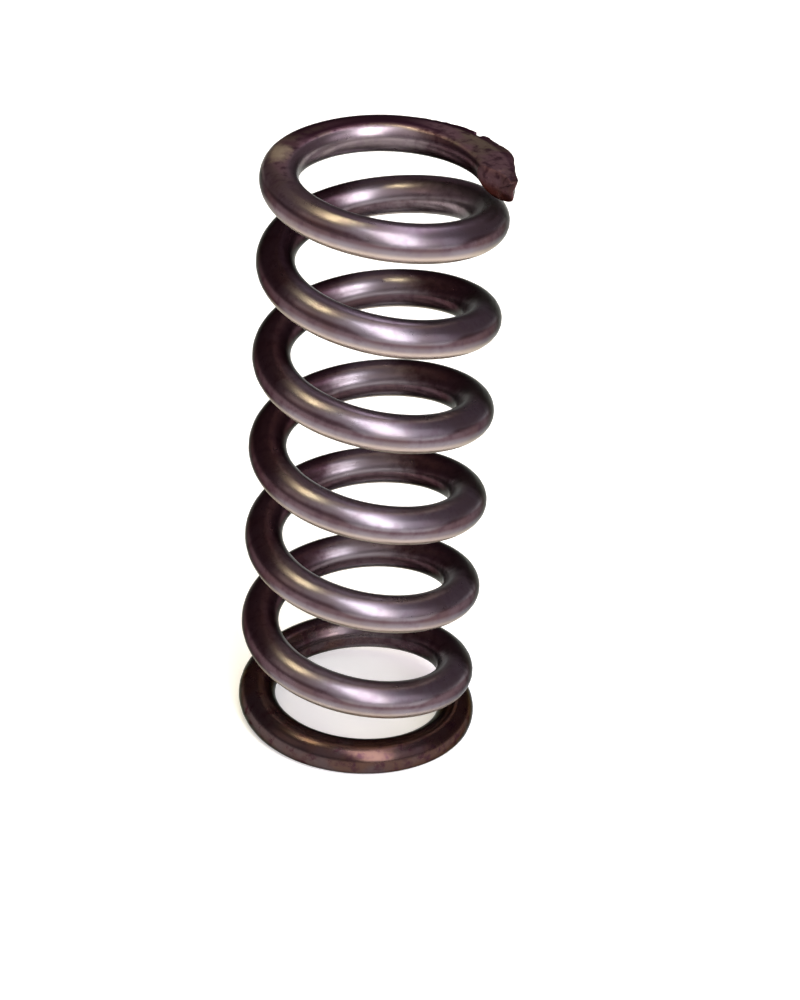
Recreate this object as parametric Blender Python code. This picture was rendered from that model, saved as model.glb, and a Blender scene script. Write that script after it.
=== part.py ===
"""Compression spring for a carburettor's adjusting screw.

One length of round wire, wound left-handed, with a closed turn at each end that is ground flat across.
Sizes are in metres, +Z is up, and the origin is on the coil's axis in the plane that the spring stands on.
Positions along the wire are counted in turns from its upper end.
"""
import math

import bmesh
import bpy
from mathutils import Matrix, Vector

MM = 0.001

# Wire and coil
WIRE_DIAMETER = 1.1 * MM
COIL_OUTER_DIAMETER = 7.0 * MM
FREE_LENGTH = 18.0 * MM
TURN_COUNT = 7.08
UPPER_END_ANGLE = math.radians(-3)

# Ends
END_CLEARANCE = 0.15 * MM
GRINDING_DEPTH = 0.3 * MM
END_FLARE = 0.16 * MM
FLARED_TURNS = 0.5
CUT_SLANT = math.radians(50)

# Facets
POINTS_PER_TURN = 36
BEVEL_RESOLUTION = 5
SLANT_FADE_SHARE = 3
WELD_DISTANCE = 0.0001 * MM
SMOOTH_ANGLE = math.radians(40)

# Finish of the wire: dark, oiled spring steel
WIRE_COLOUR = (0.16, 0.145, 0.155, 1.0)
WIRE_METALLIC = 0.9
WIRE_ROUGHNESS = 0.33

# Grinding blocks
BLOCK_MARGIN = 2.0 * MM
BLOCK_HEIGHT = 3.0 * MM

# Values that follow from the sizes above
WIRE_RADIUS = WIRE_DIAMETER / 2
COIL_RADIUS = (COIL_OUTER_DIAMETER - WIRE_DIAMETER) / 2
CLOSING_DROP = WIRE_DIAMETER + END_CLEARANCE
LOWER_END_HEIGHT = WIRE_RADIUS - GRINDING_DEPTH
UPPER_END_HEIGHT = FREE_LENGTH - LOWER_END_HEIGHT
WORKING_TURNS = TURN_COUNT - 2
PITCH = (UPPER_END_HEIGHT - LOWER_END_HEIGHT - 2 * CLOSING_DROP) / WORKING_TURNS
SLANT_TURN = WIRE_RADIUS * math.tan(CUT_SLANT) / COIL_RADIUS
SLANT_FADE_TURN = SLANT_FADE_SHARE * SLANT_TURN


def clear_scene():
    """Remove every object that the scene starts with."""
    for obj in list(bpy.data.objects):
        bpy.data.objects.remove(obj, do_unlink=True)


def new_collection(name):
    """Return an empty collection linked to the scene."""
    collection = bpy.data.collections.new(name)
    bpy.context.scene.collection.children.link(collection)
    return collection


def spring_steel():
    """Return the material of the wire."""
    material = bpy.data.materials.new("dark_spring_steel")
    material.use_nodes = True
    shader = material.node_tree.nodes["Principled BSDF"]
    shader.inputs["Base Color"].default_value = WIRE_COLOUR
    shader.inputs["Metallic"].default_value = WIRE_METALLIC
    shader.inputs["Roughness"].default_value = WIRE_ROUGHNESS
    return material


def drop_from_end(turns):
    """Return how far the wire has moved along the axis, a number of turns in from either end.

    Over the closing turn the pitch grows as a power of the way along it. The power is the one that brings
    the wire a wire's width and the clearance away from its own end after one turn, and that reaches the
    working pitch there without a kink.
    """
    if turns < 1:
        return CLOSING_DROP * turns ** (PITCH / CLOSING_DROP)
    return CLOSING_DROP + PITCH * (turns - 1)


def centre_line_height(turns):
    """Return the height of the wire's centre line."""
    if turns < TURN_COUNT / 2:
        return UPPER_END_HEIGHT - drop_from_end(turns)
    return LOWER_END_HEIGHT + drop_from_end(TURN_COUNT - turns)


def centre_line_radius(turns):
    """Return the distance of the wire's centre line from the axis: both ends stand out a little."""
    turns_to_end = min(turns, TURN_COUNT - turns)
    share = max(0.0, 1 - turns_to_end / FLARED_TURNS)
    return COIL_RADIUS + END_FLARE * share ** 2


def centre_line_point(turns):
    """Return a point of the centre line: going down, the wire turns anticlockwise as seen from above."""
    angle = UPPER_END_ANGLE + 2 * math.pi * turns
    radius = centre_line_radius(turns)
    return Vector((radius * math.cos(angle), radius * math.sin(angle), centre_line_height(turns)))


def centre_line_points():
    """Return points evenly spread along the centre line, from the upper end to the lower one."""
    step_count = math.ceil(TURN_COUNT * POINTS_PER_TURN)
    return [centre_line_point(TURN_COUNT * index / step_count) for index in range(step_count + 1)]


def wire_curve(points, collection):
    """Return a round wire along the points, as a curve object with closed ends."""
    curve = bpy.data.curves.new("wire_centre_line", "CURVE")
    curve.dimensions = "3D"
    curve.bevel_depth = WIRE_RADIUS
    curve.bevel_resolution = BEVEL_RESOLUTION
    curve.use_fill_caps = True
    spline = curve.splines.new("POLY")
    spline.points.add(len(points) - 1)
    for spline_point, point in zip(spline.points, points):
        spline_point.co = (*point, 1.0)
    wire = bpy.data.objects.new("wire_centre_line", curve)
    collection.objects.link(wire)
    return wire


def turn_between(start, point):
    """Return the angle from one point to another about the coil's axis, from -pi to pi."""
    return math.atan2(start.x * point.y - start.y * point.x, start.x * point.x + start.y * point.y)


def slant_wire_end(mesh, end, inward_sign):
    """Lean the wire's end face, as nippers leave it: its inner side is cut back, its outer side stands on.

    The points of the wire's last stretch go round the coil's axis, the most at the face and less with the
    distance from it. The sign says which way round the wire leaves its end: 1 is anticlockwise from above.
    """
    end_radius = end.xy.length
    half_step = math.pi / POINTS_PER_TURN
    for vertex in mesh.verts:
        turn_inward = inward_sign * turn_between(end, vertex.co)
        on_end_turn = abs(vertex.co.z - end.z) < WIRE_RADIUS + END_CLEARANCE / 2
        if on_end_turn and -half_step < turn_inward < SLANT_FADE_TURN:
            share = 1 - turn_inward / SLANT_FADE_TURN
            depth = end_radius - vertex.co.xy.length
            turn = inward_sign * SLANT_TURN * share * depth / WIRE_RADIUS
            vertex.co.rotate(Matrix.Rotation(turn, 3, "Z"))


def wire_solid(name, curve_object, points, collection):
    """Return the wire as one closed mesh with slanted ends, in place of its curve."""
    depsgraph = bpy.context.evaluated_depsgraph_get()
    mesh = bpy.data.meshes.new_from_object(curve_object.evaluated_get(depsgraph))
    mesh.name = name
    solid = bmesh.new()
    solid.from_mesh(mesh)
    bmesh.ops.remove_doubles(solid, verts=solid.verts, dist=WELD_DISTANCE)
    slant_wire_end(solid, points[0], 1)
    slant_wire_end(solid, points[-1], -1)
    bmesh.ops.recalc_face_normals(solid, faces=solid.faces)
    solid.to_mesh(mesh)
    solid.free()
    wire = bpy.data.objects.new(name, mesh)
    wire.matrix_world = curve_object.matrix_world
    collection.objects.link(wire)
    bpy.data.objects.remove(curve_object, do_unlink=True)
    return wire


def grinding_block(name, middle_height, collection):
    """Return a block that takes away what stands past one end's plane."""
    width = COIL_OUTER_DIAMETER + 2 * END_FLARE + 2 * BLOCK_MARGIN
    bpy.ops.mesh.primitive_cube_add(size=1, location=(0, 0, middle_height), scale=(width, width, BLOCK_HEIGHT))
    block = bpy.context.object
    block.name = name
    bpy.ops.object.transform_apply(location=False, rotation=False, scale=True)
    for owner in list(block.users_collection):
        owner.objects.unlink(block)
    collection.objects.link(block)
    block.hide_render = True
    block.display_type = "WIRE"
    return block


def grind(wire, block):
    """Cut the block's space out of the wire."""
    cut = wire.modifiers.new(block.name, "BOOLEAN")
    cut.operation = "DIFFERENCE"
    cut.solver = "EXACT"
    cut.object = block


def build_spring():
    """Model the spring and the two blocks that grind its ends flat."""
    parts = new_collection("carburetor_spring")
    cutters = new_collection("cutters")
    points = centre_line_points()
    spring = wire_solid("carburetor_spring", wire_curve(points, parts), points, parts)
    spring.data.materials.append(spring_steel())
    spring.data.shade_smooth()
    spring.data.set_sharp_from_angle(angle=SMOOTH_ANGLE)
    grind(spring, grinding_block("upper_grinding_block", FREE_LENGTH + BLOCK_HEIGHT / 2, cutters))
    grind(spring, grinding_block("lower_grinding_block", -BLOCK_HEIGHT / 2, cutters))


clear_scene()
build_spring()
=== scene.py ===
"""Looks of a carburettor's adjusting-screw spring: the wound wire, its ground ends and its nipped tips.

Sizes are in metres and +Z is up. Positions along the wire are counted in turns from its upper end, and the
coil follows the same law as the solid that it is fitted to.
"""
import logging
import math
from bisect import bisect
from dataclasses import dataclass, field
from enum import Enum

import bmesh
import bpy
from mathutils import Matrix, Vector, noise

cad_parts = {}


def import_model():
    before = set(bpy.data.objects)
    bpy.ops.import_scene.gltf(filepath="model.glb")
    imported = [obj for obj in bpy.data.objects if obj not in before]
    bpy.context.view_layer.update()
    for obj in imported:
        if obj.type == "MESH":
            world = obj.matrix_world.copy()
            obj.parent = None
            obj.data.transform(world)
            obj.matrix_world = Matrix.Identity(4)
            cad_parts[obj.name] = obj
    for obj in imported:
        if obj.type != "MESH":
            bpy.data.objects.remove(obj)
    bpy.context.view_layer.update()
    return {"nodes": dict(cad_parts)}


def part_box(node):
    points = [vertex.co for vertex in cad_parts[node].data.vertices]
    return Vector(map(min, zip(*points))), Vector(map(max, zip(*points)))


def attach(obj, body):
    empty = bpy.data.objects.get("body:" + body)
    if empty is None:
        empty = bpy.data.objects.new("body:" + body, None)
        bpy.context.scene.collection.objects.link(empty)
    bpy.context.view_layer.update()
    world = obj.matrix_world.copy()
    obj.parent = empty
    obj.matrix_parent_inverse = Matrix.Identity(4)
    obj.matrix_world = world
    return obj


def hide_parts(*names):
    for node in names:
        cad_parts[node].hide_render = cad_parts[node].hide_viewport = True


MM = 0.001
NODE = "carburetor_spring"
BODY = "root"
PLACE_ATTRIBUTE = "wire_place"
GROUND_ATTRIBUTE = "ground_depth"

FLOAT = "NodeSocketFloat"
COLOUR = "NodeSocketColor"
VECTOR = "NodeSocketVector"
NOISE_MIDDLE = 0.5
EDGE_TINT = (0.36, 0.4, 0.38)
UPRIGHT = (0.0, 0.0, 1.0)

LOG = logging.getLogger("spring")

Span = tuple[float, float]
Triple = tuple[float, float, float]
Colour = Triple
Socket = bpy.types.NodeSocket
Sockets = dict[str, Socket]


class Face(Enum):
    """The kinds of surface on the wire, by their place in its material list."""

    WIRE = 0
    NIPPED = 1


class End(Enum):
    """The wire's two ends. The value is the way round that the wire leaves the end, 1 for anticlockwise."""

    UPPER = 1
    LOWER = -1


def deselect_all() -> None:
    """Deselect every object, and leave none active."""
    if bpy.context.object and bpy.context.object.mode != "OBJECT":
        bpy.ops.object.mode_set(mode="OBJECT")
    bpy.ops.object.select_all(action="DESELECT")
    bpy.context.view_layer.objects.active = None


def make_active(piece: bpy.types.Object) -> None:
    """Make one object the only one that an operator works on.

    Args:
        piece: the object.
    """
    deselect_all()
    piece.select_set(True)
    bpy.context.view_layer.objects.active = piece


# Shader helpers


@dataclass(frozen=True)
class Mottle:
    """A noise pattern: its features for each metre, and how many and how strong its finer octaves are."""

    scale: float
    detail: float
    roughness: float
    distortion: float = 0.0


class Graph:
    """A node tree that is being wired, with short calls for the nodes that the finishes use."""

    def __init__(self, tree: bpy.types.NodeTree) -> None:
        """Take a tree.

        Args:
            tree: the material's or the group's own node tree.
        """
        self.tree = tree

    def node(self, kind: str, **settings: object) -> bpy.types.Node:
        """Add a node.

        Args:
            kind: the node's type, such as ShaderNodeMath.
            settings: its properties, by name.

        Returns:
            The new node.
        """
        made = self.tree.nodes.new(kind)
        for name, value in settings.items():
            setattr(made, name, value)
        return made

    def plug(self, target: Socket, source: object) -> None:
        """Link a socket to another, or set it to a value.

        Args:
            target: the input socket.
            source: an output socket, a number, or a colour of three or four numbers.
        """
        if isinstance(source, Socket):
            self.tree.links.new(source, target)
        elif target.type == "RGBA" and len(source) == 3:
            target.default_value = (*source, 1.0)
        else:
            target.default_value = source

    def math(self, operation: str, first: object, second: object) -> Socket:
        """Return the result of a Math node on two sockets or numbers.

        Args:
            operation: the node's operation, such as ADD.
            first: a socket or a number.
            second: a socket or a number.

        Returns:
            The result's socket.
        """
        made = self.node("ShaderNodeMath", operation=operation)
        self.plug(made.inputs[0], first)
        self.plug(made.inputs[1], second)
        return made.outputs[0]

    def product(self, first: object, *others: object) -> Socket:
        """Return the product of sockets and numbers.

        Args:
            first: a socket or a number.
            others: what it is multiplied by, in turn.

        Returns:
            The product's socket.
        """
        result = first
        for other in others:
            result = self.math("MULTIPLY", result, other)
        return result

    def rest_of(self, share: object) -> Socket:
        """Return what a share leaves of one."""
        return self.math("SUBTRACT", 1.0, share)

    def swing(self, pattern: object, width: float) -> Socket:
        """Return a noise value as an uneven shift to both sides of zero, of a width."""
        return self.product(self.math("SUBTRACT", pattern, NOISE_MIDDLE), width)

    def split(self, vector: object) -> tuple[Socket, ...]:
        """Return the three parts of a vector.

        Args:
            vector: the vector's socket.

        Returns:
            The sockets of X, Y and Z.
        """
        made = self.node("ShaderNodeSeparateXYZ")
        self.plug(made.inputs[0], vector)
        return tuple(made.outputs)

    def mix(self, share: object, first: object, second: object) -> Socket:
        """Return a blend of two colours.

        Args:
            share: the second colour's share.
            first: a colour or its socket.
            second: a colour or its socket.

        Returns:
            The blend's socket.
        """
        made = self.node("ShaderNodeMix", data_type="RGBA")
        self.plug(made.inputs["Factor"], share)
        self.plug(next(s for s in made.inputs if s.name == "A" and s.type == "RGBA"), first)
        self.plug(next(s for s in made.inputs if s.name == "B" and s.type == "RGBA"), second)
        return next(s for s in made.outputs if s.type == "RGBA")

    def blend(self, share: object, first: object, second: object) -> Socket:
        """Return a blend of two numbers.

        Args:
            share: the second number's share.
            first: a socket or a number.
            second: a socket or a number.

        Returns:
            The blend's socket.
        """
        made = self.node("ShaderNodeMix", data_type="FLOAT")
        for socket, value in zip([s for s in made.inputs if s.type == "VALUE"], (share, first, second)):
            self.plug(socket, value)
        return next(s for s in made.outputs if s.type == "VALUE")

    def fade(self, value: object, start: float, end: float, low: float = 0.0, high: float = 1.0) -> Socket:
        """Return a smooth step from low at start to high at end.

        Args:
            value: the socket that is read.
            start: the value at which the step starts.
            end: the value at which it ends.
            low: the result at the start.
            high: the result at the end.

        Returns:
            The step's socket.
        """
        made = self.node("ShaderNodeMapRange", interpolation_type="SMOOTHSTEP", clamp=True)
        for socket, number in zip(made.inputs, (value, start, end, low, high)):
            self.plug(socket, number)
        return made.outputs[0]

    def noise(self, place: object, mottle: Mottle) -> Socket:
        """Return a mottle's value, from 0 to 1, at a place.

        Args:
            place: the place's socket.
            mottle: the pattern.

        Returns:
            The value's socket.
        """
        made = self.node("ShaderNodeTexNoise", noise_dimensions="3D")
        self.plug(made.inputs["Vector"], place)
        self.plug(made.inputs["Scale"], mottle.scale)
        self.plug(made.inputs["Detail"], mottle.detail)
        self.plug(made.inputs["Roughness"], mottle.roughness)
        self.plug(made.inputs["Distortion"], mottle.distortion)
        return made.outputs["Fac"]

    def stretch(self, place: object, scale: Triple = (1.0, 1.0, 1.0), shift: Triple = (0.0, 0.0, 0.0),
                turn: float = 0.0) -> Socket:
        """Return a place turned about Z, scaled along each axis and shifted, for a grain with a direction.

        Args:
            place: the place's socket.
            scale: how much it is scaled along each axis.
            shift: how far it is shifted.
            turn: the turn about Z, in radians.

        Returns:
            The new place's socket.
        """
        made = self.node("ShaderNodeMapping")
        self.plug(made.inputs["Vector"], place)
        self.plug(made.inputs["Scale"], scale)
        self.plug(made.inputs["Location"], shift)
        self.plug(made.inputs["Rotation"], (0.0, 0.0, turn))
        return made.outputs[0]

    def bump(self, height: object, depth: float) -> Socket:
        """Return a normal from a height; the depth is in metres for a height of 1.

        Args:
            height: the height's socket.
            depth: how deep a height of 1 is.

        Returns:
            The normal's socket.
        """
        made = self.node("ShaderNodeBump")
        self.plug(made.inputs["Strength"], 1.0)
        self.plug(made.inputs["Distance"], depth)
        self.plug(made.inputs["Height"], height)
        return made.outputs[0]


def new_group(name: str, inputs: dict[str, str], outputs: dict[str, str]) -> tuple[Graph, Sockets, Sockets]:
    """Start a shader node group.

    Args:
        name: the group's name.
        inputs: the type of each input socket, by name.
        outputs: the type of each output socket, by name.

    Returns:
        The group's graph, its inputs as sockets to read, and its outputs as sockets to feed.
    """
    tree = bpy.data.node_groups.new(name, "ShaderNodeTree")
    for in_out, sockets in (("INPUT", inputs), ("OUTPUT", outputs)):
        for socket_name, socket_type in sockets.items():
            tree.interface.new_socket(name=socket_name, in_out=in_out, socket_type=socket_type)
    graph = Graph(tree)
    entry = graph.node("NodeGroupInput")
    leave = graph.node("NodeGroupOutput")
    return graph, {n: entry.outputs[n] for n in inputs}, {n: leave.inputs[n] for n in outputs}


def place_group(graph: Graph, name: str, **values: object) -> Sockets:
    """Put a node group in a graph.

    Args:
        graph: the graph that uses the group.
        name: the group's name.
        values: what feeds each input, with _ for a space in the input's name.

    Returns:
        The group's outputs, by name.
    """
    made = graph.node("ShaderNodeGroup", node_tree=bpy.data.node_groups[name])
    for key, value in values.items():
        graph.plug(made.inputs[key.replace("_", " ")], value)
    return {socket.name: socket for socket in made.outputs}


def build_tarnish_group(broad: Mottle = Mottle(900.0, 2.0, 0.5), broad_step: Span = (0.42, 0.62),
                        fine: Mottle = Mottle(3400.0, 4.0, 0.6), fine_step: Span = (0.46, 0.68)) -> None:
    """Build the group that clouds a steel's colour with two tints, one in broad patches and one in fine ones.

    Args:
        broad: the pattern of the broad patches.
        broad_step: the pattern's values at which the broad tint starts and is full.
        fine: the pattern of the fine patches.
        fine_step: the pattern's values at which the fine tint starts and is full.
    """
    graph, given, result = new_group(
        "Tarnish", {"Place": VECTOR, "Clean": COLOUR, "Broad tint": COLOUR, "Fine tint": COLOUR, "Amount": FLOAT},
        {"Colour": COLOUR, "Cloud": FLOAT})
    cloud = graph.noise(given["Place"], fine)
    broad_share = graph.product(graph.fade(graph.noise(given["Place"], broad), *broad_step), given["Amount"])
    fine_share = graph.product(graph.fade(cloud, *fine_step), given["Amount"])
    tinted = graph.mix(broad_share, given["Clean"], given["Broad tint"])
    graph.plug(result["Colour"], graph.mix(fine_share, tinted, given["Fine tint"]))
    graph.plug(result["Cloud"], cloud)


def build_rust_group(spread: Mottle = Mottle(1900.0, 5.0, 0.62, 0.3), edge: Span = (-0.06, 0.14),
                     speckle: Mottle = Mottle(9000.0, 3.0, 0.6), speckle_step: Span = (0.35, 0.7)) -> None:
    """Build the group that gives rust: where it lies, its colour and its crust's height.

    Args:
        spread: the pattern of where the rust lies.
        edge: how far past its limit the pattern is where the rust starts and where it is full.
        speckle: the pattern of the crust.
        speckle_step: the pattern's values at which the crust is dark and light.
    """
    graph, given, result = new_group(
        "Rust", {"Place": VECTOR, "Reach": FLOAT, "Dark": COLOUR, "Light": COLOUR},
        {"Mask": FLOAT, "Colour": COLOUR, "Height": FLOAT})
    above = graph.math("SUBTRACT", graph.noise(given["Place"], spread), graph.rest_of(given["Reach"]))
    mask = graph.fade(above, *edge)
    crust = graph.noise(given["Place"], speckle)
    graph.plug(result["Mask"], mask)
    graph.plug(result["Colour"], graph.mix(graph.fade(crust, *speckle_step), given["Dark"], given["Light"]))
    graph.plug(result["Height"], graph.product(crust, mask))


def build_grain_group(fine: Mottle = Mottle(16000.0, 3.0, 0.6), fine_stretch: Triple = (0.02, 1.0, 1.0),
                      broad: Mottle = Mottle(4200.0, 2.0, 0.5), broad_stretch: Triple = (0.05, 1.0, 1.0),
                      broad_shift: Triple = (0.4, 0.1, 0.2), broad_share: float = 0.4,
                      shine_step: Span = (0.3, 0.7)) -> None:
    """Build the group that gives fine lines along X, as drawing leaves on a wire and a wheel on a ground face.

    Args:
        fine: the pattern across the fine lines.
        fine_stretch: how that pattern is drawn out along the lines.
        broad: the pattern across the broad lines.
        broad_stretch: how that pattern is drawn out along the lines.
        broad_shift: what keeps the broad lines off the fine ones.
        broad_share: the broad lines' share of the height.
        shine_step: the broad pattern's values at which a line is shiny and dull.
    """
    graph, given, result = new_group("Grain", {"Place": VECTOR}, {"Height": FLOAT, "Shine": FLOAT})
    fine_lines = graph.noise(graph.stretch(given["Place"], fine_stretch), fine)
    broad_lines = graph.noise(graph.stretch(given["Place"], broad_stretch, broad_shift), broad)
    graph.plug(result["Height"], graph.blend(broad_share, fine_lines, broad_lines))
    graph.plug(result["Shine"], graph.fade(broad_lines, *shine_step))


def build_stain_group(border: Mottle = Mottle(3800.0, 4.0, 0.6), unevenness: float = 1.4,
                      edge: Span = (1.3, 0.2)) -> None:
    """Build the group that gives a round stain's mask; the place is in the stain's half sizes from its middle.

    Args:
        border: the pattern that makes the stain's border uneven.
        unevenness: how wide that pattern swings, in half sizes.
        edge: the distances from the middle, in half sizes, at which the stain starts and is full.
    """
    graph, given, result = new_group("Stain", {"Place": VECTOR, "Grain": VECTOR}, {"Mask": FLOAT})
    away = graph.node("ShaderNodeVectorMath", operation="LENGTH")
    graph.plug(away.inputs[0], given["Place"])
    ragged = graph.swing(graph.noise(given["Grain"], border), unevenness)
    graph.plug(result["Mask"], graph.fade(graph.math("ADD", away.outputs["Value"], ragged), *edge))


# The finishes


def new_finish(name: str) -> tuple[bpy.types.Material, Graph, bpy.types.Node]:
    """Return a new material, its graph and its shader.

    Args:
        name: the material's name.

    Returns:
        The material, its graph, and the shader that it starts with.
    """
    made = bpy.data.materials.new(name)
    made.use_nodes = True
    return made, Graph(made.node_tree), made.node_tree.nodes["Principled BSDF"]


@dataclass(frozen=True)
class Stain:
    """A stain on the wire, at a place along it and out from its middle."""

    along: float
    outward: float
    half_length: float
    half_width: float
    colour: Colour

    def place(self, graph: Graph, on_wire: Socket, grain: Socket) -> Socket:
        """Put the stain in a graph, and return its mask.

        Args:
            graph: the material's graph.
            on_wire: the place on the wire as if that lay straight along X.
            grain: the place that the uneven border is read at.

        Returns:
            The mask.
        """
        scale = (1 / self.half_length, 1 / self.half_width, 0.0)
        shift = (-self.along / self.half_length, -self.outward / self.half_width, 0.0)
        return place_group(graph, "Stain", Place=graph.stretch(on_wire, scale, shift), Grain=grain)["Mask"]


@dataclass(frozen=True)
class Tints:
    """A steel's clean colour and the two tints that cloud it."""

    clean: Colour
    broad: Colour
    fine: Colour
    amount: float = 1.0

    def place(self, graph: Graph, place: Socket) -> Sockets:
        """Put the tarnish group with these colours in a graph."""
        return place_group(graph, "Tarnish", Place=place, Clean=self.clean, Broad_tint=self.broad,
                           Fine_tint=self.fine, Amount=self.amount)


@dataclass(frozen=True)
class Rust:
    """A rust bloom's colours, and the roughness of its crust."""

    dark: Colour = (0.05, 0.018, 0.014)
    light: Colour = (0.19, 0.08, 0.045)
    roughness: float = 0.75

    def place(self, graph: Graph, place: Socket, reach: object) -> Sockets:
        """Put the rust group with these colours in a graph."""
        return place_group(graph, "Rust", Place=place, Reach=reach, Dark=self.dark, Light=self.light)

    def cover(self, graph: Graph, shader: bpy.types.Node, rust: Sockets, colour: object, rough: object) -> None:
        """Lay the rust over bare steel, in the shader of a finish.

        Args:
            graph: the material's graph.
            shader: the material's shader.
            rust: what the rust group puts out.
            colour: the steel's colour.
            rough: the steel's roughness.
        """
        graph.plug(shader.inputs["Base Color"], graph.mix(rust["Mask"], colour, rust["Colour"]))
        graph.plug(shader.inputs["Metallic"], graph.rest_of(rust["Mask"]))
        graph.plug(shader.inputs["Roughness"], graph.blend(rust["Mask"], rough, self.roughness))
        graph.plug(shader.inputs["Specular Tint"], EDGE_TINT)


@dataclass(frozen=True)
class WireSpot:
    """Where a point of the wire's surface lies, as the sockets that a finish reads."""

    in_space: Socket
    on_wire: Socket
    cut_depth: Socket
    from_upper: Socket
    from_lower: Socket
    outward: Socket
    upward: Socket

    @classmethod
    def read(cls, graph: Graph, wire_length: float) -> "WireSpot":
        """Read the spot from space and from the wire's attributes.

        Args:
            graph: the material's graph.
            wire_length: the wire's length along its centre line, where the lower tip is.

        Returns:
            The spot.
        """
        on_wire = graph.node("ShaderNodeAttribute", attribute_name=PLACE_ATTRIBUTE).outputs["Vector"]
        from_upper, outward, upward = graph.split(on_wire)
        return cls(
            in_space=graph.node("ShaderNodeTexCoord").outputs["Object"],
            on_wire=on_wire,
            cut_depth=graph.node("ShaderNodeAttribute", attribute_name=GROUND_ATTRIBUTE).outputs["Fac"],
            from_upper=from_upper,
            from_lower=graph.math("SUBTRACT", wire_length, from_upper),
            outward=outward,
            upward=upward)


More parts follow.
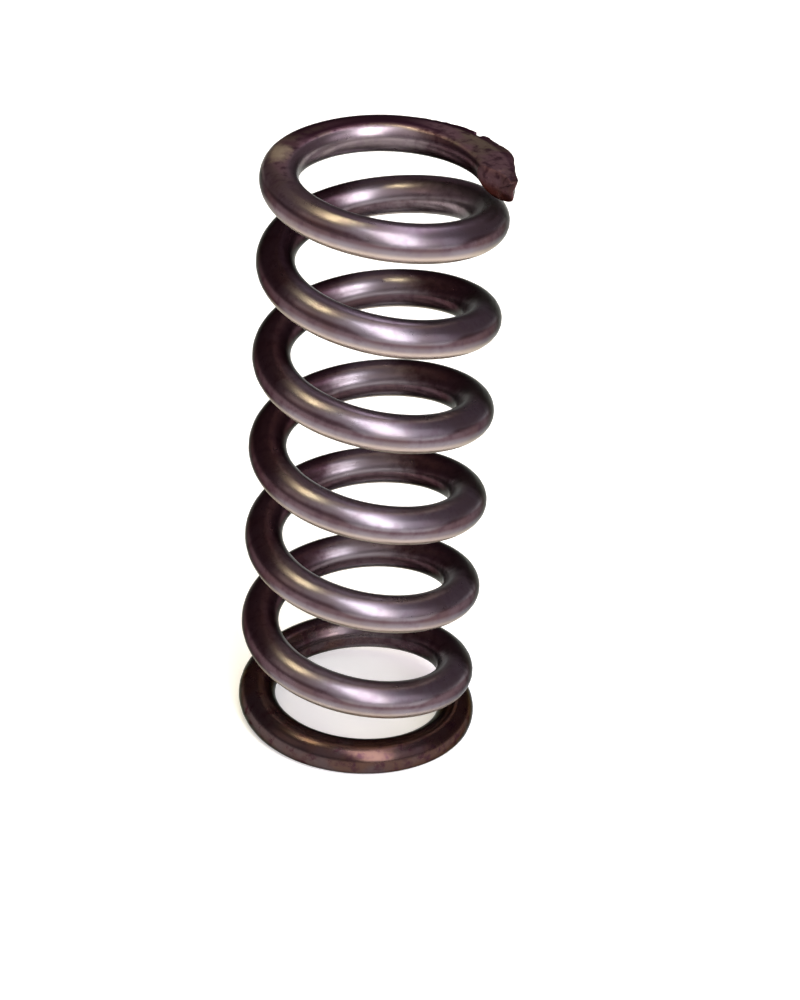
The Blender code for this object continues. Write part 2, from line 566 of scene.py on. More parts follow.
@dataclass(frozen=True)
class SpringSteel:
    """The wire's finish: dark oiled steel, browner at both ends, with painted light and shade laid over it: a dark
    band along its flanks, a paler underside, a lighter inner side, darker sides of the coil, a darker lowest turn,
    lighter upper turns and a dark rim on the upper ground face.
    """

    # Colours, from the drawn wire's to what lies over it
    drawn: Tints = Tints((0.18, 0.157, 0.178), (0.165, 0.135, 0.145), (0.15, 0.118, 0.14), 0.8)
    # painted reflection: a lighter colour over the coil's inner side
    painted_inner_sheen: Colour = (0.26, 0.228, 0.25)
    # painted dark reflection: the colour of the dark band along the wire's flanks
    painted_flank_shade: Tints = Tints((0.095, 0.063, 0.075), (0.085, 0.052, 0.058), (0.07, 0.042, 0.052))
    # brown tone of the upper turns, also made lighter as painted light
    browned_and_lit: Tints = Tints((0.24, 0.178, 0.187), (0.22, 0.163, 0.15), (0.15, 0.09, 0.105))
    ground: Tints = Tints((0.158, 0.097, 0.112), (0.15, 0.12, 0.092), (0.045, 0.021, 0.03))
    # painted dark reflection: the dark rim along the outer edge of the ground face
    rim: Colour = (0.085, 0.037, 0.058)
    # painted shade: a darker colour on two sides of the coil
    painted_side_shade: Tints = Tints((0.062, 0.036, 0.044), (0.056, 0.028, 0.033), (0.042, 0.02, 0.027), 0.8)
    # painted shade: the lowest turn, where it stands on the floor, darker and browner
    shaded_lower_turn: Tints = Tints((0.062, 0.043, 0.045), (0.068, 0.038, 0.031), (0.042, 0.019, 0.024))
    # painted reflection: the floor's pale colour laid on the wire's underside
    pale: Colour = (0.66, 0.54, 0.455)
    stains: tuple[Stain, ...] = (
        Stain(9.1 * MM, 0.1 * MM, 0.62 * MM, 0.34 * MM, (0.38, 0.32, 0.235)),
        Stain(8.38 * MM, -0.05 * MM, 0.2 * MM, 0.34 * MM, (0.1, 0.055, 0.065)),
        # the third lightens a long stretch along the back of the second turn, under the upper tip
        Stain(20.7 * MM, -0.15 * MM, 3.6 * MM, 0.8 * MM, (0.22, 0.177, 0.194)),
    )
    rust: Rust = Rust()
    # Roughness, and how far the tarnish and the drawn lines move it
    roughness: float = 0.29
    ground_roughness: float = 0.5
    rim_roughness: float = 0.3
    lower_turn_roughness: float = 0.24
    cloud_roughness: float = 0.14
    line_roughness: float = 0.03
    # Relief
    line_depth: float = 0.0012 * MM
    wheel_depth: float = 0.003 * MM
    crust_depth: float = 0.004 * MM
    wheel_angle: float = math.radians(25)
    # Rust reaches the first value at a tip, and the second from this length of wire on
    rust_reach: Span = (0.4, -0.3)
    rust_length: float = 2.8 * MM
    # A pair is where a zone starts and where it is full: by the depth that was ground off, by the length of wire
    # from a tip, or by the distance out from the wire's middle. The rim's depth has a pair for either side of it,
    # and its start also has its share before that.
    ground_depth: Span = (0.004 * MM, 0.06 * MM)
    upper_turns_length: Span = (9.0 * MM, 13.5 * MM)
    lower_turn_length: Span = (12.0 * MM, 19.0 * MM)
    rim_depth: tuple[float, float, float, float] = (0.004 * MM, 0.03 * MM, 0.18 * MM, 0.1 * MM)
    rim_across: Span = (-0.42 * MM, -0.2 * MM)
    rim_start: Triple = (1.2 * MM, 2.6 * MM, 0.35)
    rim_stop: Span = (7.4 * MM, 8.4 * MM)
    # the coil's inner side: it gets the painted lighter colour, and on the upper turns no painted dark band
    inside_across: Span = (0.0, -0.4 * MM)
    inner_sheen_share: float = 0.6
    # Sides of the coil for the painted shade and the painted dark band: a bearing in degrees, and distances that
    # way from the axis
    left_side_shade: Triple = (163.0, 1.15 * MM, 2.15 * MM)
    right_side_shade: Triple = (37.0, 1.8 * MM, 2.45 * MM)
    left_shade_top: Span = (16.9 * MM, 16.0 * MM)
    side_shade_unevenness: float = 0.5 * MM
    # the side where the painted dark band sits lower, which the key lamp lights
    lit_side: Triple = (-75.0, 2.95 * MM, 3.4 * MM)
    lit_side_lift: float = 0.33
    # Levels on the wire's section, from -1 at its underside to 1 at its top; they place the painted dark band and
    # the painted reflection on the underside
    side_lift: float = 0.2
    dark_band_below: Span = (-0.4, -0.1)
    dark_band_above: Span = (0.4, 0.2)
    under_level: Span = (-0.36, -0.86)
    # How far the upper turns darken their flanks with painted shade, and keep their inner side free of the painted
    # dark band
    upper_flank_shade: float = 0.9
    unbanded_inside: float = 0.85

    def material(self, wire_length: float, wire_radius: float) -> bpy.types.Material:
        """Return the finish as a material.

        Args:
            wire_length: the wire's length along its centre line.
            wire_radius: the wire's radius.

        Returns:
            The material.
        """
        made, graph, shader = new_finish("Spring steel")
        spot = WireSpot.read(graph, wire_length)
        drawn = self.drawn.place(graph, spot.in_space)
        lines = place_group(graph, "Grain", Place=spot.on_wire)
        nearest_tip = graph.math("MINIMUM", spot.from_upper, spot.from_lower)
        reach = graph.fade(nearest_tip, 0.0, self.rust_length, *self.rust_reach)
        rust = self.rust.place(graph, spot.in_space, reach)
        zones = self.zones(graph, spot, drawn["Cloud"], wire_radius)
        colour = self.colour(graph, spot, zones, drawn["Colour"])
        rough = self.gloss(graph, zones, drawn["Cloud"], lines["Shine"])
        self.rust.cover(graph, shader, rust, colour, rough)
        relief = self.relief(graph, spot, zones["ground"], lines["Height"], rust["Height"])
        graph.plug(shader.inputs["Normal"], relief)
        return made

    def zones(self, graph: Graph, spot: WireSpot, cloud: Socket, wire_radius: float) -> Sockets:
        """Return the masks of the parts of the wire that have a look of their own, several of which place painted
        light or shade.

        Args:
            graph: the material's graph.
            spot: where the surface lies.
            cloud: the tarnish's pattern, which makes borders uneven.
            wire_radius: the wire's radius.

        Returns:
            The masks, by name.
        """
        # the level on the section places the painted dark band and the painted reflection on the underside
        lifted = graph.math("SUBTRACT", spot.upward, graph.product(spot.outward, self.side_lift))
        level = graph.math("DIVIDE", lifted, wire_radius)
        browned_and_lit = graph.fade(spot.from_upper, *self.upper_turns_length, 1.0, 0.0)
        inside = graph.fade(spot.outward, *self.inside_across)
        bare = graph.product(inside, browned_and_lit, self.unbanded_inside)
        return {
            "browned_and_lit": browned_and_lit,
            "shaded_lower_turn": graph.fade(spot.from_lower, *self.lower_turn_length, 1.0, 0.0),
            "ground": graph.fade(spot.cut_depth, *self.ground_depth),
            "painted_inner_sheen": graph.product(inside, self.inner_sheen_share),
            "painted_dark_band": graph.product(self.dark_band_share(graph, spot, level), graph.rest_of(bare)),
            "painted_side_shade": self.side_shade_share(graph, spot, cloud),
            "under": graph.product(graph.fade(level, *self.under_level), graph.rest_of(browned_and_lit)),
            "rim": self.rim_shade_share(graph, spot),
        }

    def dark_band_share(self, graph: Graph, spot: WireSpot, level: Socket) -> Socket:
        """Return the mask of the dark band along both flanks, a painted dark reflection, which sits lower on the
        side of the coil that the key lamp lights.

        Args:
            graph: the material's graph.
            spot: where the surface lies.
            level: the level on the wire's section, from -1 to 1.

        Returns:
            The mask.
        """
        lift = graph.product(self.side_share(graph, spot.in_space, self.lit_side, 0.0), self.lit_side_lift)
        return graph.product(graph.fade(level, *self.dark_band_below),
                             graph.fade(graph.math("ADD", level, lift), *self.dark_band_above))

    def side_shade_share(self, graph: Graph, spot: WireSpot, cloud: Socket) -> Socket:
        """Return the mask of the painted shade on two sides of the coil; on the left it ends below the closing
        turn.

        Args:
            graph: the material's graph.
            spot: where the surface lies.
            cloud: the pattern that makes its border uneven.

        Returns:
            The mask.
        """
        ragged = graph.swing(cloud, self.side_shade_unevenness)
        left = graph.product(self.side_share(graph, spot.in_space, self.left_side_shade, ragged),
                             graph.fade(graph.split(spot.in_space)[2], *self.left_shade_top))
        return graph.math("MAXIMUM", left, self.side_share(graph, spot.in_space, self.right_side_shade, ragged))

    def rim_shade_share(self, graph: Graph, spot: WireSpot) -> Socket:
        """Return the mask of the dark rim along the outer edge of the ground face, a painted dark reflection.

        Args:
            graph: the material's graph.
            spot: where the surface lies.

        Returns:
            The mask.
        """
        shallow, shallow_full, deep, deep_full = self.rim_depth
        tip_end, tip_full, tip_share = self.rim_start
        return graph.product(
            graph.fade(spot.cut_depth, shallow, shallow_full), graph.fade(spot.cut_depth, deep, deep_full),
            graph.fade(spot.from_upper, tip_end, tip_full, tip_share, 1.0),
            graph.fade(spot.from_upper, *self.rim_stop, 1.0, 0.0),
            graph.fade(spot.outward, *self.rim_across))

    def colour(self, graph: Graph, spot: WireSpot, zones: Sockets, drawn: Socket) -> Socket:
        """Return the steel's colour: the drawn wire's, with each zone and stain laid over it in turn; several
        zones are painted light or shade.

        Args:
            graph: the material's graph.
            spot: where the surface lies.
            zones: the zones' masks, by name.
            drawn: the drawn wire's own colour.

        Returns:
            The colour.
        """
        painted_side_shade = self.painted_side_shade.place(graph, spot.in_space)["Colour"]
        painted_flank_shade = graph.mix(graph.product(zones["browned_and_lit"], self.upper_flank_shade),
                          self.painted_flank_shade.place(graph, spot.in_space)["Colour"], painted_side_shade)
        # the layers include painted light and shade: the lighter upper turns and inner side, the dark flank band,
        # the darker sides, the paler underside, the darker lowest turn and the dark rim
        layers = [
            (zones["browned_and_lit"], self.browned_and_lit.place(graph, spot.in_space)["Colour"]),
            (zones["painted_inner_sheen"], self.painted_inner_sheen),
            (zones["painted_dark_band"], painted_flank_shade),
            (zones["painted_side_shade"], painted_side_shade),
            (zones["under"], self.pale),
            (zones["shaded_lower_turn"], self.shaded_lower_turn.place(graph, spot.in_space)["Colour"]),
            (zones["ground"], self.ground.place(graph, spot.in_space)["Colour"]),
            (zones["rim"], self.rim),
        ]
        layers += [(stain.place(graph, spot.on_wire, spot.in_space), stain.colour) for stain in self.stains]
        colour = drawn
        for share, over in layers:
            colour = graph.mix(share, colour, over)
        return colour

    def gloss(self, graph: Graph, zones: Sockets, cloud: Socket, shine: Socket) -> Socket:
        """Return the steel's roughness, which wavers with the tarnish and with the drawn lines.

        Args:
            graph: the material's graph.
            zones: the zones' masks, by name.
            cloud: the tarnish's pattern.
            shine: the drawn lines' pattern.

        Returns:
            The roughness.
        """
        rough = graph.blend(zones["shaded_lower_turn"], self.roughness, self.lower_turn_roughness)
        rough = graph.blend(zones["ground"], rough, self.ground_roughness)
        rough = graph.blend(zones["rim"], rough, self.rim_roughness)
        rough = graph.math("ADD", rough, graph.swing(cloud, self.cloud_roughness))
        return graph.math("ADD", rough, graph.product(shine, self.line_roughness))

    def relief(self, graph: Graph, spot: WireSpot, ground: Socket, lines: Socket, crust: Socket) -> Socket:
        """Return the surface's normal: drawn lines or wheel marks, with the rust's crust on them.

        Args:
            graph: the material's graph.
            spot: where the surface lies.
            ground: the ground faces' mask.
            lines: the drawn lines' height.
            crust: the rust's height.

        Returns:
            The normal.
        """
        wheel = place_group(graph, "Grain", Place=graph.stretch(spot.in_space, turn=self.wheel_angle))
        depth = graph.blend(ground, graph.product(lines, self.line_depth),
                            graph.product(wheel["Height"], self.wheel_depth))
        raised = graph.math("ADD", depth, graph.product(crust, self.crust_depth))
        return graph.bump(graph.math("DIVIDE", raised, self.crust_depth), self.crust_depth)

    def side_share(self, graph: Graph, in_space: Socket, side: Triple, ragged: object) -> Socket:
        """Return a mask that covers one side of the coil.

        Args:
            graph: the material's graph.
            in_space: the place in space.
            side: the side's bearing in degrees, and the distances that way at which the mask starts and is full.
            ragged: what makes its border uneven, as a distance.

        Returns:
            The mask.
        """
        bearing, start, full = side
        towards = graph.split(graph.stretch(in_space, turn=math.radians(-bearing)))[0]
        return graph.fade(graph.math("ADD", towards, ragged), start, full)


@dataclass(frozen=True)
class NippedSteel:
    """The wire's cut faces: torn by the nippers, grey above and rusted below."""

    tints: Tints = Tints((0.12, 0.066, 0.078), (0.1, 0.056, 0.05), (0.05, 0.022, 0.03))
    lower: Colour = (0.07, 0.021, 0.018)
    lower_level: Span = (17.75 * MM, 17.4 * MM)
    rust: Rust = Rust((0.03, 0.01, 0.009), (0.11, 0.045, 0.03), 0.8)
    roughness: float = 0.56
    tear: Mottle = Mottle(9000.0, 4.0, 0.65)
    tear_stretch: Triple = (1.0, 1.0, 0.25)
    tear_depth: float = 0.006 * MM
    rust_reach: float = 0.42

    def material(self) -> bpy.types.Material:
        """Return the finish as a material.

        Returns:
            The material.
        """
        made, graph, shader = new_finish("Nipped spring steel")
        in_space = graph.node("ShaderNodeTexCoord").outputs["Object"]
        is_lower = graph.fade(graph.split(in_space)[2], *self.lower_level)
        colour = graph.mix(is_lower, self.tints.place(graph, in_space)["Colour"], self.lower)
        rust = self.rust.place(graph, in_space, self.rust_reach)
        self.rust.cover(graph, shader, rust, colour, self.roughness)
        tear = graph.noise(graph.stretch(in_space, self.tear_stretch), self.tear)
        graph.plug(shader.inputs["Normal"], graph.bump(tear, self.tear_depth))
        return made


# The coil's law


@dataclass(frozen=True)
class Coil:
    """The coil's sizes, and the way of the wire's centre line that follows from them."""

    free_length: float
    wire_diameter: float = 1.1 * MM
    outer_diameter: float = 7.0 * MM
    turn_count: float = 7.08
    upper_end_angle: float = math.radians(-3)
    end_clearance: float = 0.15 * MM
    grinding_depth: float = 0.3 * MM
    end_flare: float = 0.16 * MM
    flared_turns: float = 0.5
    cut_slant: float = math.radians(50)
    slant_fade_share: float = 3.0
    # Where the wire departs from that law: the second turn sits close under the upper tip, the wheel bit less
    # at the back of the upper face, and the nippers pinched the upper tip. Places are in turns from that tip,
    # and so are lengths, apart from the pinch's.
    close_place: float = 1.07
    close_length: float = 0.14
    close_rise: float = 0.1 * MM
    high_place: float = 0.25
    high_length: float = 0.11
    high_rise: float = 0.14 * MM
    pinch: float = 0.13 * MM
    pinch_length: float = 0.9 * MM
    corner: float = 0.11 * MM

    @property
    def wire_radius(self) -> float:
        """The wire's radius."""
        return self.wire_diameter / 2

    @property
    def radius(self) -> float:
        """The distance of the centre line from the axis, away from the ends."""
        return (self.outer_diameter - self.wire_diameter) / 2

    @property
    def closing_drop(self) -> float:
        """How far the closing turn moves along the axis."""
        return self.wire_diameter + self.end_clearance

    @property
    def lower_end_height(self) -> float:
        """The height of the centre line at the lower tip."""
        return self.wire_radius - self.grinding_depth

    @property
    def upper_end_height(self) -> float:
        """The height of the centre line at the upper tip."""
        return self.free_length - self.lower_end_height

    @property
    def pitch(self) -> float:
        """The distance between two working turns."""
        span = self.upper_end_height - self.lower_end_height - 2 * self.closing_drop
        return span / (self.turn_count - 2)

    @property
    def slant_turn(self) -> float:
        """The angle round the axis by which the nipped face's outer side stands on past its middle."""
        return self.wire_radius * math.tan(self.cut_slant) / self.radius

    def drop(self, turns: float) -> float:
        """Return how far the wire has moved along the axis, a number of turns in from either end.

        Args:
            turns: the number of turns from the end.

        Returns:
            The drop.
        """
        if turns < 1:
            return self.closing_drop * max(turns, 0.0) ** (self.pitch / self.closing_drop)
        return self.closing_drop + self.pitch * (turns - 1)

    def slope(self, turns: float) -> float:
        """Return the wire's angle to the level, in radians.

        Args:
            turns: the position along the wire.

        Returns:
            The angle.
        """
        from_end = min(turns, self.turn_count - turns)
        gain = self.pitch * min(max(from_end, 0.0), 1.0) ** (self.pitch / self.closing_drop - 1)
        return math.atan2(gain, 2 * math.pi * self.radius)

    def height(self, turns: float) -> float:
        """Return the height of the centre line, which rises a little where the second turn passes the upper tip.

        Args:
            turns: the position along the wire.

        Returns:
            The height.
        """
        if turns < self.turn_count / 2:
            rise = self.close_rise * math.exp(-((turns - self.close_place) / self.close_length) ** 2)
            return self.upper_end_height - self.drop(turns) + rise
        return self.lower_end_height + self.drop(self.turn_count - turns)

    def distance(self, turns: float) -> float:
        """Return the distance of the centre line from the axis: both ends stand out a little.

        Args:
            turns: the position along the wire.

        Returns:
            The distance.
        """
        from_end = min(turns, self.turn_count - turns)
        share = max(0.0, 1 - from_end / self.flared_turns)
        return self.radius + self.end_flare * share ** 2

    def top_height(self, turns: float) -> float:
        """Return the height of the upper ground face: the wheel bit less at one place."""
        return self.free_length + self.high_rise * math.exp(-((turns - self.high_place) / self.high_length) ** 2)

    def angle(self, turns: float) -> float:
        """Return the angle round the axis: going down, the wire turns anticlockwise as seen from above."""
        return self.upper_end_angle + 2 * math.pi * turns

    def length_to(self, turns: float) -> float:
        """Return the length of wire above a position, taken at the working slope."""
        return turns * math.hypot(2 * math.pi * self.radius, self.pitch)


# The wire as a mesh


@dataclass(frozen=True)
class TornEdge:
    """The outer edge of the upper ground face near the tip, where burrs and a nick mark it.

    Each pair of the outline is a position along the wire, and how far the edge stands out there.
    """

    outline: tuple[Span, ...] = (
        (0.0, 0.155 * MM), (0.016, 0.145 * MM), (0.032, 0.04 * MM), (0.0475, 0.008 * MM), (0.053, 0.036 * MM),
        (0.0585, 0.045 * MM), (0.064, 0.098 * MM), (0.0695, 0.136 * MM), (0.0755, 0.135 * MM), (0.079, 0.13 * MM),
        (0.082, 0.137 * MM), (0.0905, 0.124 * MM), (0.095, 0.092 * MM), (0.1, 0.091 * MM), (0.1055, 0.075 * MM),
        (0.1105, 0.09 * MM), (0.115, 0.107 * MM), (0.1215, 0.1 * MM), (0.1245, 0.075 * MM), (0.127, -0.03 * MM),
        (0.1315, -0.15 * MM), (0.1355, -0.16 * MM), (0.137, 0.09 * MM), (0.1475, 0.081 * MM), (0.154, 0.091 * MM),
        (0.1605, 0.075 * MM), (0.1675, 0.067 * MM), (0.1745, 0.047 * MM), (0.181, 0.056 * MM), (0.188, 0.025 * MM),
        (0.195, 0.033 * MM), (0.202, 0.006 * MM), (0.21, 0.022 * MM), (0.22, 0.004 * MM), (0.235, 0.0))
    burr_angle: float = 0.4
    nick_angle: float = 0.8

    def shift(self, turns: float, off_edge: float) -> float:
        """Return how far the surface stands out.

        Args:
            turns: the position along the wire.
            off_edge: the angle in the section between the surface and the edge.

        Returns:
            The distance, below zero in the nick.
        """
        places = [place for place, _ in self.outline]
        after = bisect(places, turns)
        if after in (0, len(places)):
            return 0.0
        (start, first), (end, second) = self.outline[after - 1:after + 1]
        out = first + (second - first) * (turns - start) / (end - start)
        return out * math.exp(-(off_edge / (self.nick_angle if out < 0 else self.burr_angle)) ** 2)


@dataclass
class SpringWire:
    """The spring: one round wire, wound, closed and ground flat at both ends, and nipped off at a slant."""

    coil: Coil
    steel: SpringSteel = field(default_factory=SpringSteel)
    nipped: NippedSteel = field(default_factory=NippedSteel)
    torn_edge: TornEdge = field(default_factory=TornEdge)
    # Rings along the wire and points round it
    rings_per_turn: int = 110
    fine_turns: float = 0.2
    fine_rings: int = 160
    crown_steps: int = 10
    rim_steps: int = 5
    side_steps: int = 9
    # The ground faces' edges, worn round and crumbled near the tips
    rim_width: float = 0.06 * MM
    rim_softness: float = 0.18 * MM
    burr_lift: float = 0.35
    least_crown: float = math.radians(16)
    crumble: float = 0.03 * MM
    crumble_size: float = 0.16 * MM
    crumble_finer: Span = (2.7, 0.5)
    crumble_angle: float = 0.35
    # The nipped faces: each loop's share of the section and how far it stands out, and the torn relief
    cut_start: float = 0.009
    cut_loops: tuple[Span, ...] = (
        (0.98, 0.035 * MM), (0.94, 0.068 * MM), (0.88, 0.096 * MM), (0.8, 0.12 * MM), (0.7, 0.137 * MM),
        (0.58, 0.148 * MM), (0.44, 0.155 * MM), (0.28, 0.158 * MM), (0.12, 0.158 * MM))
    tear: float = 0.035 * MM
    tear_size: float = 0.22 * MM
    tear_finer: Span = (2.3, 0.6)
    tear_flatness: int = 4
    smooth_angle: float = math.radians(35)

    @property
    def corners(self) -> int:
        """The number of points in the wire's section."""
        return 2 * (self.crown_steps + 2 * self.rim_steps + self.side_steps)

    @property
    def stations(self) -> list[float]:
        """The positions of the rings along the wire, close together near both tips."""
        coil = self.coil
        middle = coil.turn_count - 2 * self.fine_turns
        middle_rings = math.ceil(middle * self.rings_per_turn)
        fine_step = (self.fine_turns - self.cut_start) / self.fine_rings
        upper = [self.cut_start + fine_step * index for index in range(self.fine_rings)]
        between = [self.fine_turns + middle * index / middle_rings for index in range(middle_rings)]
        lower = [coil.turn_count - turns for turns in reversed(upper)]
        return [*upper, *between, coil.turn_count - self.fine_turns, *lower]

    def build(self) -> bpy.types.Object:
        """Model and dress the wire.

        Returns:
            The wire as one object at the origin.
        """
        stations = self.stations
        wire = self.add_section()
        self.wind(wire, len(stations) - 1)
        self.shape(wire, stations)
        for end in End:
            self.close_end(wire, end)
        self.turn_faces_out(wire)
        self.dress(wire)
        return wire

    def add_section(self) -> bpy.types.Object:
        """Add the wire's round section, upright at the coil's side.

        Returns:
            The section's object, at the origin.
        """
        deselect_all()
        bpy.ops.mesh.primitive_circle_add(
            vertices=self.corners, radius=self.coil.wire_radius, fill_type="NOTHING",
            location=(self.coil.radius, 0.0, self.coil.upper_end_height), rotation=(math.pi / 2, 0.0, 0.0))
        wire = bpy.context.object
        wire.name = "spring_wire"
        wire.data.name = "spring_wire"
        bpy.ops.object.transform_apply(location=True, rotation=True, scale=True)
        return wire

    def wind(self, wire: bpy.types.Object, steps: int) -> None:
        """Wind the section down round the axis, as a plain coil of even pitch.

        Args:
            wire: the section's object.
            steps: the number of steps between its rings.
        """
        winding = wire.modifiers.new("winding", "SCREW")
        winding.axis = "Z"
        winding.angle = 2 * math.pi * self.coil.turn_count
        winding.screw_offset = self.coil.lower_end_height - self.coil.upper_end_height
        winding.steps = steps
        winding.render_steps = steps
        winding.use_merge_vertices = False
        make_active(wire)
        bpy.ops.object.modifier_apply(modifier=winding.name)

    def crowns(self, turns: float) -> Span:
        """Return how far round the section the upper and the lower ground face reach, as half angles.

        Args:
            turns: the position along the wire.

        Returns:
            The upper and the lower half angle, zero where nothing was ground off.
        """
        coil = self.coil
        reaches = []
        for room in (coil.top_height(turns) - coil.height(turns), coil.height(turns)):
            cosine = room / math.cos(coil.slope(turns)) / coil.wire_radius
            reaches.append(math.acos(min(1.0, max(-1.0, cosine))))
        return reaches[0], reaches[1]

    def section_angles(self, turns: float) -> list[float]:
        """Return the places of the section's points, as angles from its top towards the coil's axis.

        The points lie close together at the edges of the ground faces, so that those edges are clean.

        Args:
            turns: the position along the wire.

        Returns:
            The angles.
        """
        half_rim = self.rim_width / self.coil.wire_radius
        top, bottom = (max(self.least_crown, reach) for reach in self.crowns(turns))
        edges = (top, math.pi - bottom, math.pi + bottom, 2 * math.pi - top)
        marks = [half_rim - top, *(edge + side for edge in edges for side in (-half_rim, half_rim))]
        steps = (self.crown_steps, self.rim_steps, self.side_steps, self.rim_steps) * 2
        return [start + (end - start) * index / count
                for start, end, count in zip(marks, marks[1:], steps) for index in range(count)]

    def soft_limit(self, value: float, limit: float) -> float:
        """Return the value held under a limit, with the corner between them worn round."""
        overlap = max(self.rim_softness - abs(value - limit), 0.0) / self.rim_softness
        return min(value, limit) - overlap ** 2 * self.rim_softness / 4

    def lumps(self, place: Vector, finer: Span) -> float:
        """Return an uneven height at a place.

        Args:
            place: the place, in lumps.
            finer: how many times finer its second layer is, and that layer's share.

        Returns:
            The height, to both sides of zero.
        """
        fineness, share = finer
        return noise.noise(place) + share * noise.noise(place * fineness)

    def edge_wear(self, turns: float, angle: float, place: Vector) -> float:
        """Return how far the outer edge of a ground face stands out or in, where burrs and nicks mark it.

        Args:
            turns: the position along the wire.
            angle: the angle in the section, from its top towards the coil's axis.
            place: the place on the wire as if that lay straight along X.

        Returns:
            The distance, below zero where the edge is nicked.
        """
        coil = self.coil
        top, bottom = self.crowns(turns)
        from_end = min(turns, coil.turn_count - turns)
        at_top = turns < coil.turn_count / 2
        if (top if at_top else bottom) <= 0:
            return 0.0
        off_edge = angle - (2 * math.pi - top if at_top else math.pi + bottom)
        near_tip = max(0.0, 1 - from_end / self.fine_turns)
        lumps = self.lumps(place / self.crumble_size, self.crumble_finer)
        shift = self.crumble * near_tip * lumps * math.exp(-(off_edge / self.crumble_angle) ** 2)
        if at_top:
            shift += self.torn_edge.shift(turns, off_edge)
        return shift

    def section_point(self, turns: float, angle: float) -> tuple[Vector, Vector, float]:
        """Return a point of the wire's surface.

        Args:
            turns: the position along the wire.
            angle: the angle in the section, from its top towards the coil's axis.

        Returns:
            The point, its place on the wire as if that lay straight along X, and the depth that was ground off.
        """
        coil = self.coil
        centre_height = coil.height(turns)
        slope = coil.slope(turns)
        outward = -coil.wire_radius * math.sin(angle)
        raw = coil.wire_radius * math.cos(angle)
        upward = self.soft_limit(raw, (coil.top_height(turns) - centre_height) / math.cos(slope))
        upward = -self.soft_limit(-upward, centre_height / math.cos(slope))
        place = Vector((coil.length_to(turns), outward, raw))
        wear = self.edge_wear(turns, angle, place)
        nearness = math.exp(-(coil.length_to(turns) / coil.pinch_length) ** 2)
        outer, lower = (max(0.0, side / coil.wire_radius) for side in (outward, -upward))
        crush = nearness * outer * (2 * coil.corner * lower - coil.pinch)
        distance = coil.distance(turns) + outward + wear + crush
        around = coil.angle(turns) + upward * math.sin(slope) / coil.radius
        around += self.slant(turns, outward)
        height = centre_height + upward * math.cos(slope)
        if turns < coil.turn_count / 2:
            height += self.burr_lift * wear
        return Vector((distance * math.cos(around), distance * math.sin(around), height)), place, abs(raw - upward)

    def slant(self, turns: float, outward: float) -> float:
        """Return the turn about the axis that leans the wire's last stretch towards its slanted face.

        Args:
            turns: the position along the wire.
            outward: the distance out from the wire's middle.

        Returns:
            The angle, in radians.
        """
        coil = self.coil
        fade_turn = coil.slant_fade_share * coil.slant_turn
        lean = 0.0
        for end, from_end in ((End.UPPER, turns), (End.LOWER, coil.turn_count - turns)):
            share = max(0.0, 1 - 2 * math.pi * from_end / fade_turn)
            lean -= end.value * coil.slant_turn * share * outward / coil.wire_radius
        return lean

    def shape(self, wire: bpy.types.Object, stations: list[float]) -> None:
        """Draw the even coil out to its real form, ring by ring, and note each point's place on the wire.

        Args:
            wire: the wire's object.
            stations: the position of each ring along the wire.
        """
        mesh = wire.data
        corners = self.corners
        if len(mesh.vertices) != len(stations) * corners:
            raise ValueError(f"the winding has {len(mesh.vertices)} points and not {len(stations) * corners}")
        mesh.attributes.new(PLACE_ATTRIBUTE, "FLOAT_VECTOR", "POINT")
        mesh.attributes.new(GROUND_ATTRIBUTE, "FLOAT", "POINT")
        places = mesh.attributes[PLACE_ATTRIBUTE]
        depths = mesh.attributes[GROUND_ATTRIBUTE]
        for ring, turns in enumerate(stations):
            for corner, angle in enumerate(self.section_angles(turns)):
                index = ring * corners + corner
                mesh.vertices[index].co, places.data[index].vector, depths.data[index].value = (
                    self.section_point(turns, angle))
        mesh.update()

    def close_end(self, wire: bpy.types.Object, end: End) -> None:
        """Close an end of the wire with a nipped face: it is torn, and rounds over into the wire's side.

        Args:
            wire: the wire's object.
            end: the end that is closed.
        """
        turns = self.cut_start if end is End.UPPER else self.coil.turn_count - self.cut_start
        make_active(wire)
        bpy.ops.object.mode_set(mode="EDIT")
        bpy.ops.mesh.select_mode(type="EDGE")
        bpy.ops.mesh.select_all(action="DESELECT")
        mesh = bmesh.from_edit_mesh(wire.data)
        for edge in mesh.edges:
            near = abs(edge.verts[0].co.z - self.coil.height(turns)) < self.coil.wire_diameter
            if edge.is_boundary and near:
                edge.select_set(True)
        rim = [vertex.co.copy() for vertex in mesh.verts if vertex.select]
        centre = sum(rim, Vector()) / len(rim)
        angle = self.coil.angle(turns)
        forward = Vector((math.sin(angle), -math.cos(angle), 0.0)) * end.value
        bmesh.update_edit_mesh(wire.data)
        bpy.ops.mesh.edge_face_add()
        bpy.ops.mesh.select_mode(type="FACE")
        size, rise = 1.0, 0.0
        for next_size, next_rise in self.cut_loops:
            bpy.ops.mesh.extrude_region_move()
            bpy.ops.transform.resize(value=(next_size / size,) * 3, center_override=centre + forward * rise)
            bpy.ops.transform.translate(value=forward * (next_rise - rise))
            size, rise = next_size, next_rise
        bpy.ops.mesh.poke()
        self.tear_face(wire, centre, forward, len(rim))
        bpy.ops.object.mode_set(mode="OBJECT")

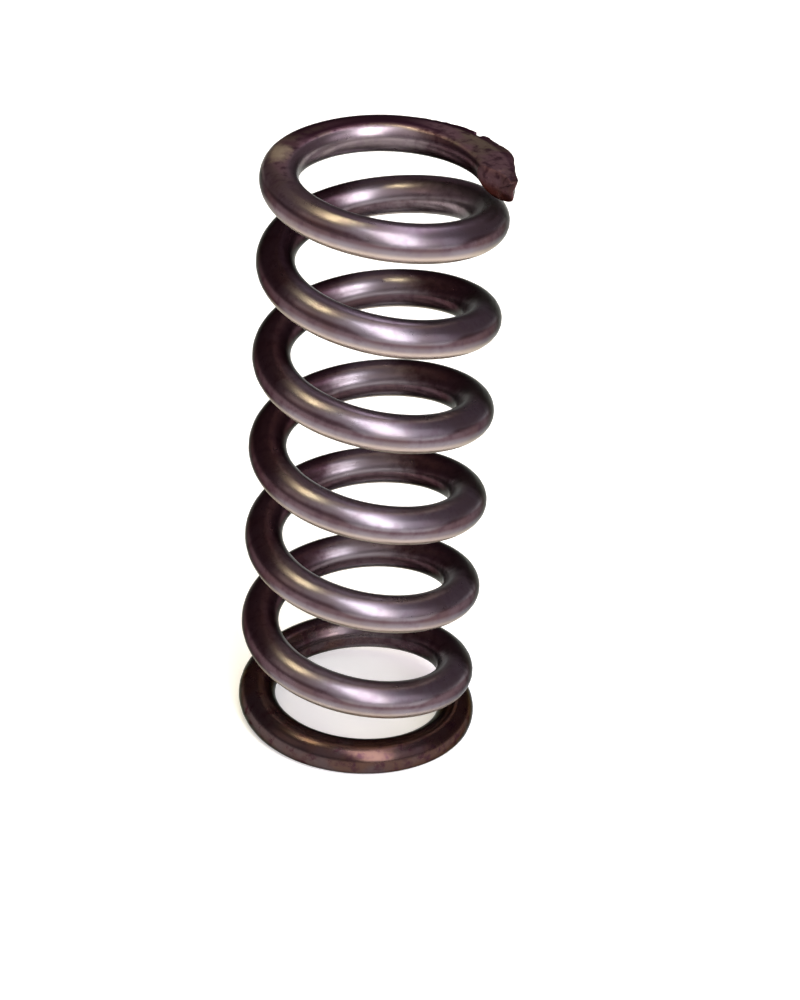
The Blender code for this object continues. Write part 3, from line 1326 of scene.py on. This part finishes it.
    def tear_face(self, wire: bpy.types.Object, centre: Vector, forward: Vector, rim_points: int) -> None:
        """Give a new end face its finish and the uneven relief of torn metal.

        Args:
            wire: the wire, in edit mode.
            centre: the middle of the face's rim.
            forward: the way out of the wire at this end.
            rim_points: the number of points of the rim.
        """
        mesh = bmesh.from_edit_mesh(wire.data)
        mesh.faces.ensure_lookup_table()
        mesh.verts.ensure_lookup_table()
        added = len(self.cut_loops) * rim_points + 1
        new_points = set(mesh.verts[-added:])
        for vertex in new_points:
            off = vertex.co - centre
            share_out = min(1.0, (off - forward * off.dot(forward)).length / self.coil.wire_radius)
            inside = 1 - share_out ** self.tear_flatness
            vertex.co += forward * self.tear * inside * self.lumps(vertex.co / self.tear_size, self.tear_finer)
        for face in mesh.faces:
            if any(vertex in new_points for vertex in face.verts):
                face.material_index = Face.NIPPED.value
        bmesh.update_edit_mesh(wire.data)

    def turn_faces_out(self, wire: bpy.types.Object) -> None:
        """Turn all faces outwards and shade the wire smooth, apart from its sharp edges.

        Args:
            wire: the wire's object.
        """
        make_active(wire)
        bpy.ops.object.mode_set(mode="EDIT")
        bpy.ops.mesh.select_all(action="SELECT")
        bpy.ops.mesh.normals_make_consistent(inside=False)
        bpy.ops.object.mode_set(mode="OBJECT")
        bpy.ops.object.shade_smooth_by_angle(angle=self.smooth_angle)

    def dress(self, wire: bpy.types.Object) -> None:
        """Give the wire its finishes, in the order of its kinds of surface.

        Args:
            wire: the wire's object.
        """
        coil = self.coil
        finishes = {
            Face.WIRE: self.steel.material(coil.length_to(coil.turn_count), coil.wire_radius),
            Face.NIPPED: self.nipped.material(),
        }
        kinds = [face.material_index for face in wire.data.polygons]
        wire.data.materials.clear()
        for kind in Face:
            wire.data.materials.append(finishes[kind])
        for face, kind_index in zip(wire.data.polygons, kinds):
            face.material_index = kind_index


# The studio


@dataclass(frozen=True)
class SoftBox:
    """A lamp with a flat, even face that looks at the spring."""

    name: str
    direction: Triple
    along: Triple
    length: float
    width: float
    brightness: float
    colour: Colour
    distance: float = 0.5

    def hang(self, target: Vector) -> None:
        """Put the lamp in the scene.

        Args:
            target: the point that it looks at.
        """
        lamp = bpy.data.lights.new(self.name, "AREA")
        lamp.shape = "RECTANGLE"
        lamp.size = self.width
        lamp.size_y = self.length
        lamp.energy = self.brightness * math.pi * self.width * self.length
        lamp.color = self.colour
        holder = bpy.data.objects.new(self.name, lamp)
        bpy.context.scene.collection.objects.link(holder)
        back = Vector(self.direction).normalized()
        side = Vector(self.along).cross(back).normalized()
        turn = Matrix((side, back.cross(side), back)).transposed()
        holder.matrix_world = Matrix.Translation(target + back * self.distance) @ turn.to_4x4()


@dataclass(frozen=True)
class Studio:
    """The pale floor, the lamps, the dim room and the camera."""

    room_colour: Colour = (0.19, 0.13, 0.155)
    floor_radius: float = 3.0
    floor_points: int = 96
    floor_colour: Colour = (0.88, 0.9, 0.89)
    floor_glow: float = 0.35
    # The camera's turn is in degrees, its lens and sensor in millimetres
    camera_place: Triple = (0.0, -0.0792869, 0.0529888)
    camera_turn: Triple = (60.06518, -3.33984, 1.21585)
    lens: float = 112.928
    sensor: float = 36.0
    nearest: float = 0.001
    farthest: float = 20.0

    def build(self, middle: Vector) -> None:
        """Build the studio round the spring.

        Args:
            middle: the middle of the spring, which the lamps look at.
        """
        self.set_view()
        self.light_room()
        self.lay_floor()
        self.place_camera()
        for lamp in self.lamps():
            lamp.hang(middle)

    def lamps(self) -> list[SoftBox]:
        """Return the lamps: a tall key, two strips overhead, and weak ones in front and on either side."""
        return [
            SoftBox("key lamp", (0.33, -0.72, 0.66), UPRIGHT, 0.6, 0.25, 8.9, (0.95, 0.955, 1.0)),
            SoftBox("side lamp", (0.80, -0.42, 0.42), UPRIGHT, 0.3, 0.28, 0.9, (0.98, 0.88, 1.0)),
            SoftBox("front lamp", (-0.3, -0.8, 0.55), UPRIGHT, 0.4, 0.35, 0.6, (1.0, 0.9, 0.88)),
            SoftBox("top strip", (0.30, 0.20, 0.93), (0.0, 1.0, 0.0), 0.5, 0.12, 3.8, (0.95, 0.83, 1.0)),
            SoftBox("warm strip", (-0.294, -0.05, 0.955), (0.41, 0.45, 0.14), 0.3, 0.05, 23.0, (1.0, 0.93, 0.52)),
            SoftBox("fill lamp", (-0.8, -0.41, 0.44), UPRIGHT, 0.25, 0.25, 0.7, (1.0, 0.78, 0.62)),
        ]

    def set_view(self) -> None:
        """Show colours as they are written."""
        bpy.context.scene.view_settings.view_transform = "Standard"

    def light_room(self) -> None:
        """Give the room a dim, even light."""
        world = bpy.data.worlds.new("dim room")
        world.use_nodes = True
        world.node_tree.nodes["Background"].inputs["Color"].default_value = (*self.room_colour, 1.0)
        bpy.context.scene.world = world

    def lay_floor(self) -> None:
        """Lay the pale floor, level with the plane that the spring stands on."""
        deselect_all()
        bpy.ops.mesh.primitive_circle_add(vertices=self.floor_points, radius=self.floor_radius, fill_type="NGON")
        floor = bpy.context.object
        floor.name = "floor"
        floor.data.materials.append(self.floor_material())

    def floor_material(self) -> bpy.types.Material:
        """Return the floor's finish: matt, lifted to white where it is seen, with the spring's shadow kept.

        Returns:
            The material.
        """
        made, graph, default_shader = new_finish("Pale floor")
        made.node_tree.nodes.remove(default_shader)
        matt = graph.node("ShaderNodeBsdfDiffuse")
        graph.plug(matt.inputs["Color"], self.floor_colour)
        ray = graph.node("ShaderNodeLightPath").outputs
        mirrored = graph.math("MAXIMUM", ray["Is Glossy Ray"], ray["Is Transmission Ray"])
        seen = graph.math("MAXIMUM", ray["Is Camera Ray"], mirrored)
        glow = graph.node("ShaderNodeEmission")
        graph.plug(glow.inputs["Strength"], graph.product(seen, self.floor_glow))
        both = graph.node("ShaderNodeAddShader")
        graph.plug(both.inputs[0], matt.outputs[0])
        graph.plug(both.inputs[1], glow.outputs[0])
        graph.plug(made.node_tree.nodes["Material Output"].inputs["Surface"], both.outputs[0])
        return made

    def place_camera(self) -> None:
        """Put the camera where the photograph was taken from."""
        lens = bpy.data.cameras.new("camera")
        lens.sensor_fit = "VERTICAL"
        lens.sensor_width = self.sensor
        lens.sensor_height = self.sensor
        lens.lens = self.lens
        lens.clip_start = self.nearest
        lens.clip_end = self.farthest
        camera = bpy.data.objects.new("camera", lens)
        camera.location = self.camera_place
        camera.rotation_euler = [math.radians(turn) for turn in self.camera_turn]
        bpy.context.scene.collection.objects.link(camera)
        bpy.context.scene.camera = camera


def main() -> None:
    """Build the spring's looks and its studio."""
    logging.basicConfig(level=logging.INFO, format="%(name)s: %(message)s")
    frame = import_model()
    LOG.info("loaded %d solid(s)", len(frame["nodes"]))
    build_tarnish_group()
    build_rust_group()
    build_grain_group()
    build_stain_group()
    low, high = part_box(NODE)
    wire = SpringWire(Coil(free_length=high.z - low.z)).build()
    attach(wire, BODY)
    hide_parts(NODE)
    LOG.info("built %s with %d faces", wire.name, len(wire.data.polygons))
    Studio().build((low + high) / 2)


if __name__ == "__main__":
    main()
